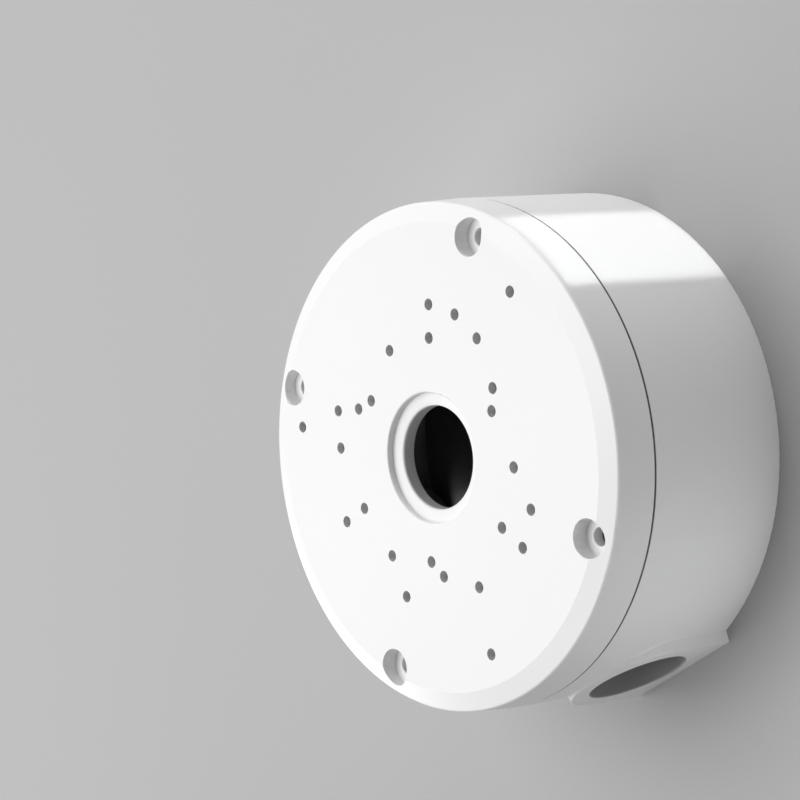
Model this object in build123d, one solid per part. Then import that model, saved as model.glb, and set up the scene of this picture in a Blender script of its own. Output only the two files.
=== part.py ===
"""Round camera junction box: a housing that is fixed to a wall and a cover that carries a camera.

Millimetres. The origin is the centre of the flat back that lies on the wall, +Z runs along the
axis of the case to the cover, and the four cover screws lie on the X and Y axes.
"""
import os
from math import atan, cos, radians, sin

from build123d import *

# Case
back_radius = 70.0
housing_taper = 0.9          # fall of the radius from the back to the seam
cover_taper = 0.9            # fall of the radius from the seam to the cover's edge
cover_height = 13.7          # seam to the flat of the cover
border_width = 5.3           # sloping border around the flat of the cover
border_drop = 1.7            # fall of that border to its outer edge
back_edge_round = 0.2
cover_edge_round = 0.6
seam_gap = 0.4               # height of the shadow groove that runs round the seam
seam_gap_depth = 0.7
seam_gap_chamfer = 0.25      # on the housing's lip of that groove
cover_lip_chamfer = 0.15
housing_wall = 3.2
floor_thickness = 3.0
face_thickness = 3.2
rim_depth = 5.0              # height of the housing's thicker rim, which holds the seal

# Seal between housing and cover
groove_land = 1.5            # wall left on each side of the groove
groove_width = 1.6
groove_depth = 2.4
tongue_height = 1.0
tongue_clearance = 0.25      # each side of the tongue in the groove
gasket_clearance = 0.1       # each side of the gasket in the groove

# Threaded inserts for the cover screws
insert_radius = 2.8
insert_bore_radius = 1.65
insert_length = 8.0
insert_clearance = 0.03
insert_chamfer = 0.4
insert_waist_width = 1.2
insert_waist_depth = 0.35

# Screw posts of the housing
post_count = 4
post_wall = 2.0              # around an insert
post_to_groove = 0.3         # between a post and the seal's groove
post_web_width = 5.0         # web that joins a post to the wall
post_gap = 1.0               # between a post and the cover above it
post_clearance = 0.35        # around a post inside the cover
post_drill_radius = 2.1      # hole that runs on below the insert
post_drill_length = 4.0

# Screw holes of the cover
screw_hole_radius = 2.4
screw_head_radius = 5.1      # recess for the head
screw_head_depth = 4.6       # below the flat of the cover
screw_mouth_round = 0.2      # rounding of the recess at the outside
screw_seat_thickness = 3.2   # cover left under the head
screw_hole_round = 0.3       # rounding where the hole meets the seat
screw_boss_wall = 2.4        # around the recess

# Cable hole of the cover
bore_radius = 13.9
bore_seat_width = 3.7
bore_seat_depth = 1.9        # at the seat's wall
bore_seat_fall = 0.7         # from there to the hole
bore_mouth_round = 0.5       # rounding of the seat's wall at the outside
bore_collar_thickness = 3.7  # wall of the hole below the seat
bore_collar_wall = 3.2       # around the seat
bore_lip_round = 0.6

# Pilot holes for camera bases, on circles of three and one of four
pilot_radius = 1.6
pilot_count = 3
pilot_circle_radii = [55.0, 41.0, 37.7, 32.4, 32.1, 31.8, 28.0]
pilot_first_angles = [70.0, 105.0, 75.0, 15.0, 105.0, 54.0, 45.0]
square_pilot_count = 4
square_pilot_circle_radius = 40.0

# Conduit ports in the side
port_angles = (-44.0, -136.0)
port_radius = 13.7
port_sill = 1.7              # from the floor's upper side to the lowest point of a port
port_rim = 5.3               # flat left around the hole
port_to_seam = 8.9           # from the top of that flat to the seam
port_proud = 0.4             # height of the flat above the case, along the flat's middle
port_wall = 4.5              # behind the flat
port_collar_length = 9.5     # from the flat to the inner end of the collar around the hole
port_collar_wall = 2.6
port_side_slope = 10.0       # degrees, sides of the raised flat
port_blend = 0.8             # hollow rounding where those sides meet the case
port_edge_round = 0.3
port_hole_round = 0.4

# Back of the housing
rear_hole_radius = 14.0
wall_screw_count = 4
wall_screw_angle = 45.0
wall_screw_circle_radius = 42.0
wall_screw_radius = 2.4
wall_screw_boss_wall = 3.6
wall_screw_boss_height = 2.0

# Heights and radii that follow
port_height = floor_thickness + port_sill + port_radius
seam_height = port_height + port_radius + port_rim + port_to_seam
case_depth = seam_height + cover_height
seam_radius = back_radius - housing_taper
seam_gap_bottom = seam_height - seam_gap
seam_gap_radius = back_radius - housing_taper * seam_gap_bottom / seam_height
cover_edge_radius = seam_radius - cover_taper
border_radius = cover_edge_radius - border_width
edge_height = case_depth - border_drop
face_bottom = case_depth - face_thickness
groove_outer = seam_radius - groove_land
groove_inner = groove_outer - groove_width
groove_floor = seam_height - groove_depth
rim_inner = groove_inner - groove_land
rim_bottom = seam_height - rim_depth
wall_inner = seam_radius - housing_wall
tongue_outer = groove_outer - tongue_clearance
tongue_inner = groove_inner + tongue_clearance
tongue_bottom = seam_height - tongue_height
seat_top = case_depth - screw_head_depth
seat_bottom = seat_top - screw_seat_thickness
post_radius = insert_radius + post_wall
post_circle_radius = groove_inner - post_to_groove - post_radius
post_top = seat_bottom - post_gap
insert_bottom = post_top - insert_length
bore_seat_radius = bore_radius + bore_seat_width
bore_seat = case_depth - bore_seat_depth
bore_lip = bore_seat - bore_seat_fall
collar_bottom = bore_lip - bore_collar_thickness
port_face = back_radius + port_proud
port_back = port_face - port_wall
port_tilt = atan(housing_taper / seam_height)    # the flats lean with the side of the case
wall_screw_boss_top = floor_thickness + wall_screw_boss_height
port_reach = port_collar_length + housing_wall    # depth of a port's pad and cut, past the collar's inner end
beyond = 2 * back_radius     # longer than the case in every direction
touch = 0.001                # what counts as lying in a plane


def ring(points):
    """Solid of revolution about Z from points of radius and height."""
    return revolve(make_face(Plane.XZ * Polyline(*points, close=True)), Axis.Z)


def disc(radius, bottom, top):
    """Upright cylinder on the Z axis between two heights."""
    return Pos(0, 0, bottom) * extrude(Circle(radius), amount=top - bottom)


def tube(outer, inner, bottom, top):
    """Upright tube on the Z axis between two heights."""
    return disc(outer, bottom, top) - disc(inner, bottom, top)


def around(radius, count, first_angle=0.0):
    """Places on a circle about the Z axis, each with its own X axis pointing outward."""
    step = 360.0 / count
    return [Rot(0, 0, first_angle + index * step) * Pos(radius, 0, 0) for index in range(count)]


def in_plane(edge, plane):
    """True for an edge that lies in a plane."""
    return all(abs(plane.to_local_coords(edge.position_at(part)).Z) < touch for part in (0, 0.3, 0.7, 1))


def round_edges(shape, radius, plane):
    """Round edges of one radius that lie in a plane."""
    edges = shape.edges().filter_by(GeomType.CIRCLE)
    return [edge for edge in edges if abs(edge.radius - radius) < touch and in_plane(edge, plane)]


def level(height):
    """Level plane at a height."""
    return Plane.XY.offset(height)


def port_plane(angle, distance):
    """Plane along the side of the case that faces outward at an angle about Z, with its own Y axis up."""
    turn = radians(angle)
    outward = Vector(cos(turn), sin(turn), 0)
    tangent = Vector(-sin(turn), cos(turn), 0)
    facing = outward * cos(port_tilt) + Vector(0, 0, sin(port_tilt))
    return Plane(origin=outward * distance, x_dir=tangent, z_dir=facing)


post_places = around(post_circle_radius, post_count)
wall_screw_places = around(wall_screw_circle_radius, wall_screw_count, wall_screw_angle)
pilot_places = around(square_pilot_circle_radius, square_pilot_count)
for circle_radius, first_angle in zip(pilot_circle_radii, pilot_first_angles):
    pilot_places += around(circle_radius, pilot_count, first_angle)


def port_outline():
    """Outline of the flat around a port: straight sides from the back, closed by a half circle."""
    half_width = port_radius + port_rim
    stem = Pos(0, port_height / 2) * Rectangle(2 * half_width, port_height)
    return stem + Pos(0, port_height) * Circle(half_width)


def make_port_pad(angle):
    """Raised flat of one port, with sloping sides and a rounded edge."""
    face = port_plane(angle, port_face)
    pad = extrude(face * port_outline(), amount=-port_reach, taper=-port_side_slope)
    pad -= Pos(0, 0, -beyond / 2) * Box(2 * beyond, 2 * beyond, beyond)
    edges = [edge for edge in pad.edges() if in_plane(edge, face) and not in_plane(edge, level(0))]
    return fillet(edges, port_edge_round)


def housing_outside():
    """Full outer form of the housing, with the raised flats around its ports."""
    body = ring([(0, 0), (back_radius, 0), (seam_radius, seam_height), (0, seam_height)])
    for angle in port_angles:
        pad = make_port_pad(angle)
        joined = body + pad
        corners = [edge for edge in new_edges(body, pad, combined=joined) if not in_plane(edge, level(0))]
        body = fillet(corners, port_blend)
    body = fillet([edge for edge in body.edges() if in_plane(edge, level(0))], back_edge_round)
    body -= tube(beyond, seam_radius - seam_gap_depth, seam_gap_bottom, seam_height)
    return chamfer(round_edges(body, seam_gap_radius, level(seam_gap_bottom)), seam_gap_chamfer)


def housing_inside():
    """Hollow of the housing, less what stands in it."""
    hollow = ring([
        (0, floor_thickness),
        (back_radius - housing_wall, floor_thickness),
        (wall_inner, rim_bottom - (wall_inner - rim_inner)),
        (rim_inner, rim_bottom),
        (rim_inner, seam_height),
        (0, seam_height),
    ])
    for angle in port_angles:
        hollow -= extrude(port_plane(angle, port_back) * port_outline(), amount=port_wall)
        collar = port_plane(angle, port_face) * Pos(0, port_height) * Circle(port_radius + port_collar_wall)
        hollow -= extrude(collar, amount=-port_collar_length)
    web_length = back_radius - post_circle_radius
    web = Pos(web_length / 2, 0, seam_height / 2) * Box(web_length, post_web_width, seam_height)
    for place in post_places:
        hollow -= place * (disc(post_radius, 0, seam_height) + web)
    for place in wall_screw_places:
        hollow -= place * disc(wall_screw_radius + wall_screw_boss_wall, 0, wall_screw_boss_top)
    return hollow


def cut_port(housing, angle):
    """Housing with one port cut through its flat and the port's outer edge rounded."""
    face = port_plane(angle, port_face)
    hole = face * Pos(0, port_height) * Circle(port_radius)
    housing -= extrude(hole, amount=-port_reach)
    return fillet(round_edges(housing, port_radius, face), port_hole_round)


def make_housing():
    """Cup with a floor, two ports and four screw posts that stand a little above its rim."""
    housing = housing_outside() - housing_inside()
    housing -= tube(groove_outer, groove_inner, groove_floor, seam_height)
    housing -= disc(rear_hole_radius, 0, floor_thickness)
    for angle in port_angles:
        housing = cut_port(housing, angle)
    for place in post_places:
        housing += place * disc(post_radius, rim_bottom, post_top)
        housing -= place * disc(insert_radius, insert_bottom, post_top)
        housing -= place * disc(post_drill_radius, insert_bottom - post_drill_length, insert_bottom)
    for place in wall_screw_places:
        housing -= place * disc(wall_screw_radius, 0, wall_screw_boss_top)
    return housing


def make_cover():
    """Shallow cap with a sloping border, a cable hole in its middle and screw and pilot holes."""
    cover = ring([
        (0, seam_height),
        (seam_radius, seam_height),
        (cover_edge_radius, edge_height),
        (border_radius, case_depth),
        (0, case_depth),
    ])
    cover = fillet(round_edges(cover, cover_edge_radius, level(edge_height)), cover_edge_round)
    cover = chamfer(round_edges(cover, seam_radius, level(seam_height)), cover_lip_chamfer)
    cavity = ring([
        (0, seam_height),
        (rim_inner, seam_height),
        (rim_inner, edge_height - face_thickness),
        (border_radius, face_bottom),
        (0, face_bottom),
    ])
    cavity -= disc(bore_seat_radius + bore_collar_wall, collar_bottom, case_depth)
    for place in post_places:
        cavity -= place * disc(screw_head_radius + screw_boss_wall, seat_bottom, case_depth)
    cover -= cavity
    cover += tube(tongue_outer, tongue_inner, tongue_bottom, seam_height)
    cover -= ring([
        (0, bore_lip),
        (bore_radius, bore_lip),
        (bore_seat_radius, bore_seat),
        (bore_seat_radius, case_depth),
        (0, case_depth),
    ])
    cover -= disc(bore_radius, collar_bottom, case_depth)
    cover = fillet(round_edges(cover, bore_radius, level(bore_lip)), bore_lip_round)
    cover = fillet(round_edges(cover, bore_seat_radius, level(case_depth)), bore_mouth_round)
    for place in post_places:
        recess = place * disc(screw_head_radius, seat_top, case_depth)
        cut = cover - recess
        made = new_edges(cover, recess, combined=cut)
        mouth = [edge for edge in made if not in_plane(edge, level(seat_top))]
        cover = fillet(mouth, screw_mouth_round)
        cover -= place * disc(screw_hole_radius, seat_bottom, case_depth)
        cover -= place * disc(post_radius + post_clearance, seam_height, seat_bottom)
    cover = fillet(round_edges(cover, screw_hole_radius, level(seat_top)), screw_hole_round)
    for place in pilot_places:
        cover -= place * disc(pilot_radius, seat_bottom, case_depth)
    return cover


def make_gasket():
    """Seal ring that fills the groove up to the cover's tongue."""
    return tube(groove_outer - gasket_clearance, groove_inner + gasket_clearance, groove_floor, tongue_bottom)


def make_insert():
    """Threaded insert on the Z axis, flush with the top of a post."""
    outer = insert_radius - insert_clearance
    body = disc(outer, insert_bottom, post_top)
    body = chamfer(round_edges(body, outer, level(insert_bottom)), insert_chamfer)
    waist_bottom = insert_bottom + (insert_length - insert_waist_width) / 2
    body -= tube(outer, outer - insert_waist_depth, waist_bottom, waist_bottom + insert_waist_width)
    return body - disc(insert_bore_radius, insert_bottom, post_top)


pieces = {
    "base_housing": make_housing(),
    "front_cover": make_cover(),
    "cover_gasket": make_gasket(),
}
insert = make_insert()
for number, place in enumerate(post_places, start=1):
    pieces[f"threaded_insert_{number}"] = place * insert

os.makedirs("parts", exist_ok=True)
for name, piece in pieces.items():
    export_step(piece, f"parts/{name}.step")
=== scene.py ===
from math import cos, radians, sin

import bpy
from mathutils import Matrix, Vector

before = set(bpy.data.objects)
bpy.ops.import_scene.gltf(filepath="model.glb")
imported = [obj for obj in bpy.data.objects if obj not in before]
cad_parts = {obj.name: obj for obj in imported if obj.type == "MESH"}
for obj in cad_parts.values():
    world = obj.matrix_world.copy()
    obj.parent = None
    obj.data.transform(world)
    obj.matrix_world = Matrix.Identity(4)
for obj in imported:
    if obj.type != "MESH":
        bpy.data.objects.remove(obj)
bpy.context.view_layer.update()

# Camera, in metres and degrees: the box seen from above its right side, with +Y nearly upright
camera_place = Vector((0.43667, 0.18788, 0.47251))
camera_aim = Vector((-0.03748, 0.00267, 0.03996))
camera_roll = -9.33
camera_lens = 106.1
camera_sensor = 36.0

# Studio, in metres, degrees and watts
box_middle = Vector((0.0, 0.0, 0.03))
world_strength = 0.14
floor_half = 6.0

# Small soft-edged beam that lights the side wall between +X and the nearer port
beam_azimuth = -18.0
beam_distance = 0.3
beam_aim = (0.01, 75.0)      # how far beside the box's axis it points, and toward which azimuth
beam_size = (0.03, 0.05)
beam_power = 0.0029
beam_spread = 28.0

# Narrow strip light that brightens the side wall from one line onward
strip_azimuth = 48.0
strip_distance = 0.16
strip_edge = 0.0122          # from the case's axis to the near edge of its beam
strip_width = 0.028
strip_height = 0.057
strip_middle = 0.0287        # height of its centre
strip_power = 0.0026
strip_spread = 3.0

# Places of the box's openings, where shade is painted into the colour, in metres and degrees
inside_radius = 0.0675       # between the inner and outer sides of the wall
inside_bottom = 0.0015
inside_top = 0.0569
bore_wall_radius = 0.0142
bore_wall_bottom = 0.0536
screw_circle_radius = 0.0609
screw_recess_radius = 0.0053
screw_recess_bottom = 0.052
port_angles = (-44.0, -136.0)
port_hole_radius = 0.01392   # just outside the holes, which lean a little with the wall
port_height = 0.0183
seam_radius = 0.06902        # just inside the lips of the seam
seam_bottom = 0.04575
seam_top = 0.04635

# Finishes as linear colours; the inside, port and seam greys are painted shade
white_plastic = (0.87, 0.87, 0.87)
# painted shade: dark grey on the inner sides of the white case, where little light reaches
inside_painted_shade = (0.19, 0.19, 0.19)
# painted shade: mid grey on the walls of the conduit ports
port_painted_shade = (0.34, 0.34, 0.34)
# painted shade: dark grey in the seam groove between housing and cover
seam_painted_shade = (0.15, 0.15, 0.15)
seal_black = (0.02, 0.02, 0.021)
insert_steel = (0.45, 0.45, 0.46)
floor_grey = (0.42, 0.42, 0.42)


class Value:
    """A node socket that takes part in Python expressions."""

    def __init__(self, shader, socket):
        self.shader = shader
        self.socket = socket

    def maths(self, operation, *others):
        values = dict(enumerate((self, *others)))
        return self.shader.node("ShaderNodeMath", {"operation": operation}, values)

    def __add__(self, other):
        return self.maths("ADD", other)

    def __radd__(self, other):
        return self.maths("ADD", other)

    def __sub__(self, other):
        return self.maths("SUBTRACT", other)

    def __rsub__(self, other):
        return (self * -1.0).maths("ADD", other)

    def __mul__(self, other):
        return self.maths("MULTIPLY", other)

    def __rmul__(self, other):
        return self.maths("MULTIPLY", other)

    def __lt__(self, other):
        return self.maths("LESS_THAN", other)

    def __gt__(self, other):
        return self.maths("GREATER_THAN", other)


class Shader:
    """A material with one Principled shader, and the one way to add nodes to it."""

    def __init__(self, name):
        self.material = bpy.data.materials.new(name)
        self.material.use_nodes = True
        self.tree = self.material.node_tree
        self.surface = self.tree.nodes["Principled BSDF"]

    def node(self, kind, settings=None, inputs=None, output=0):
        made = self.tree.nodes.new(kind)
        for name, value in (settings or {}).items():
            setattr(made, name, value)
        for name, value in (inputs or {}).items():
            self.feed(made.inputs[name], value)
        return Value(self, made.outputs[output])

    def feed(self, socket, value):
        if isinstance(value, Value):
            self.tree.links.new(value.socket, socket)
        else:
            socket.default_value = value

    def place(self):
        return self.node("ShaderNodeTexCoord", output="Object")

    def axes(self):
        parts = self.node("ShaderNodeSeparateXYZ", inputs={"Vector": self.place()})
        return [Value(self, parts.socket.node.outputs[name]) for name in "XYZ"]

    def length(self, first, second):
        return (first * first + second * second).maths("SQRT")

    def noise(self, scale, detail):
        inputs = {"Vector": self.place(), "Scale": scale, "Detail": detail}
        return self.node("ShaderNodeTexNoise", inputs=inputs)

    def blend(self, amount, first, second):
        """A colour between two, each a plain colour or another node's."""
        colours = [part if isinstance(part, Value) else (*part, 1.0) for part in (first, second)]
        inputs = {0: amount, 6: colours[0], 7: colours[1]}
        return self.node("ShaderNodeMix", {"data_type": "RGBA"}, inputs, output=2)

    def bump(self, height, distance, strength):
        inputs = {"Height": height, "Distance": distance, "Strength": strength}
        return self.node("ShaderNodeBump", inputs=inputs)

    def finish(self, **sockets):
        for name, value in sockets.items():
            self.feed(self.surface.inputs[name.replace("_", " ")], value)
        return self.material


def shade(colour, factor):
    return tuple(factor * part for part in colour)


def in_hollow(shader):
    """Where shade is painted: one on the inner sides of the box, nought on its outer sides and in the holes
    of the cover.
    """
    x, y, z = shader.axes()
    radius = shader.length(x, y)
    across_x = x.maths("ABSOLUTE")
    across_y = y.maths("ABSOLUTE")
    to_screw_on_x = shader.length(across_x - screw_circle_radius, y)
    to_screw_on_y = shader.length(x, across_y - screw_circle_radius)
    to_screw = to_screw_on_x.maths("MINIMUM", to_screw_on_y)
    hollow = (radius < inside_radius) * (z > inside_bottom) * (z < inside_top)
    bore = (radius < bore_wall_radius) * (z > bore_wall_bottom)
    recess = (to_screw < screw_recess_radius) * (z > screw_recess_bottom)
    return hollow * (1.0 - bore) * (1.0 - recess)


def in_ports(shader):
    """Where shade is painted: one on the walls of the conduit ports."""
    x, y, z = shader.axes()
    holes = []
    for angle in port_angles:
        aside = y * cos(radians(angle)) - x * sin(radians(angle))
        outward = x * cos(radians(angle)) + y * sin(radians(angle))
        hole = shader.length(aside, z - port_height) < port_hole_radius
        holes.append(hole * (outward > 0.0))
    return holes[0] + holes[1]


def in_seam(shader):
    """Where shade is painted: one in the shadow groove between housing and cover."""
    x, y, z = shader.axes()
    return (shader.length(x, y) < seam_radius) * (z > seam_bottom) * (z < seam_top)


def moulded_white():
    """Semi-gloss white plastic: a faint cloudiness in its colour and a very fine moulded grain, with shade
    painted as grey on its inner sides, the port walls and the seam groove.
    """
    shader = Shader("moulded_white")
    cloud = shader.noise(scale=18.0, detail=3.0)
    grain = shader.noise(scale=2600.0, detail=2.0)
    swell = shader.noise(scale=90.0, detail=1.0)
    height = grain * 0.35 + swell
    colour = shader.blend(cloud, white_plastic, shade(white_plastic, 0.97))
    # Paint shade into the colour: dark grey inside, mid grey on the port walls, darker grey in the seam
    # groove
    for places, grey in ((in_hollow, inside_painted_shade), (in_seam, seam_painted_shade), (in_ports, port_painted_shade)):
        colour = shader.blend(places(shader), colour, grey)
    return shader.finish(
        Base_Color=colour,
        Roughness=0.30 + 0.08 * cloud,
        Normal=shader.bump(height, distance=0.00002, strength=0.6),
    )


def seal_rubber():
    """Dull black rubber with a fine grain."""
    shader = Shader("seal_rubber")
    grain = shader.noise(scale=1800.0, detail=3.0)
    return shader.finish(
        Base_Color=shader.blend(grain, seal_black, shade(seal_black, 1.6)),
        Roughness=0.62 + 0.1 * grain,
        Normal=shader.bump(grain, distance=0.00003, strength=0.5),
    )


def turned_steel():
    """Bright steel with faint cloudy stains."""
    shader = Shader("turned_steel")
    tarnish = shader.noise(scale=400.0, detail=3.0)
    return shader.finish(
        Base_Color=shader.blend(tarnish, insert_steel, shade(insert_steel, 0.75)),
        Roughness=0.28 + 0.15 * tarnish,
        Metallic=1.0,
        Normal=shader.bump(tarnish, distance=0.00002, strength=0.4),
    )


def give(nodes, material):
    for node in nodes:
        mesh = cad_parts[node].data
        mesh.materials.clear()
        mesh.materials.append(material)


inserts = sorted(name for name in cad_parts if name.startswith("threaded_insert"))
give(["base_housing", "front_cover"], moulded_white())
give(["cover_gasket"], seal_rubber())
give(inserts, turned_steel())


def make_floor():
    """Plain floor that the back of the box lies on."""
    low, high = -floor_half, floor_half
    mesh = bpy.data.meshes.new("studio_floor")
    corners = [(low, low, 0.0), (high, low, 0.0), (high, high, 0.0), (low, high, 0.0)]
    mesh.from_pydata(corners, [], [(0, 1, 2, 3)])
    shader = Shader("studio_floor")
    mesh.materials.append(shader.finish(Base_Color=(*floor_grey, 1.0), Roughness=0.75))
    floor = bpy.data.objects.new("studio_floor", mesh)
    bpy.context.scene.collection.objects.link(floor)


def direction(azimuth, elevation):
    """Unit vector toward a place given by its angles in degrees, azimuth from +X."""
    turn, rise = radians(azimuth), radians(elevation)
    return Vector((cos(rise) * cos(turn), cos(rise) * sin(turn), sin(rise)))


def add_lamp(name, place, aim, size, power, spread=180.0):
    lamp = bpy.data.lights.new(name, "AREA")
    lamp.shape = "RECTANGLE"
    lamp.size, lamp.size_y = size
    lamp.energy = power
    lamp.spread = radians(spread)
    holder = bpy.data.objects.new(name, lamp)
    holder.location = place
    holder.rotation_euler = (aim - place).to_track_quat("-Z", "Y").to_euler()
    bpy.context.scene.collection.objects.link(holder)


def add_softbox(name, distance, azimuth, elevation, size, power):
    """A lamp that faces the middle of the box."""
    place = box_middle + distance * direction(azimuth, elevation)
    add_lamp(name, place, box_middle, size, power)


def add_beam():
    aside, toward = beam_aim
    place = box_middle + beam_distance * direction(beam_azimuth, 0.0)
    aim = box_middle + aside * direction(toward, 0.0)
    add_lamp("beam_softbox", place, aim, beam_size, beam_power, beam_spread)


def add_strip():
    along = direction(strip_azimuth, 0.0)
    aside = direction(strip_azimuth + 90.0, 0.0)
    aim = (strip_edge + 0.5 * strip_width) * aside + Vector((0.0, 0.0, strip_middle))
    size = (strip_width, strip_height)
    add_lamp("strip_softbox", aim + strip_distance * along, aim, size, strip_power, strip_spread)


def light_studio():
    """Two wide softboxes overhead, five smaller ones round the sides and a strip beside the wall."""
    add_softbox("left_softbox", distance=1.3, azimuth=150.0, elevation=66.0, size=(1.0, 1.0), power=9.4)
    add_softbox("right_softbox", distance=1.3, azimuth=230.0, elevation=66.0, size=(1.0, 1.0), power=7.7)
    add_softbox("rear_softbox", distance=0.55, azimuth=200.0, elevation=40.0, size=(0.25, 0.25), power=0.15)
    add_softbox("rim_softbox", distance=1.6, azimuth=225.0, elevation=12.0, size=(1.0, 0.3), power=7.2)
    add_softbox("low_softbox", distance=0.3, azimuth=5.0, elevation=8.0, size=(0.1, 0.05), power=0.08)
    add_beam()
    add_softbox("side_softbox", distance=0.8, azimuth=110.0, elevation=5.0, size=(0.4, 0.12), power=2.95)
    add_strip()
    world = bpy.data.worlds.new("studio_light")
    world.use_nodes = True
    background = world.node_tree.nodes["Background"].inputs
    background["Color"].default_value = (1.0, 1.0, 1.0, 1.0)
    background["Strength"].default_value = world_strength
    bpy.context.scene.world = world


def place_camera():
    forward = (camera_aim - camera_place).normalized()
    level_right = forward.cross(Vector((0.0, 1.0, 0.0))).normalized()
    right = Matrix.Rotation(radians(camera_roll), 3, forward) @ level_right
    up = right.cross(forward)
    turn = Matrix((right, up, -forward)).transposed()
    data = bpy.data.cameras.new("camera")
    data.lens = camera_lens
    data.sensor_width = camera_sensor
    camera = bpy.data.objects.new("camera", data)
    camera.matrix_world = Matrix.Translation(camera_place) @ turn.to_4x4()
    bpy.context.scene.collection.objects.link(camera)
    bpy.context.scene.camera = camera


make_floor()
light_studio()
place_camera()
bpy.context.scene.view_settings.view_transform = "Standard"
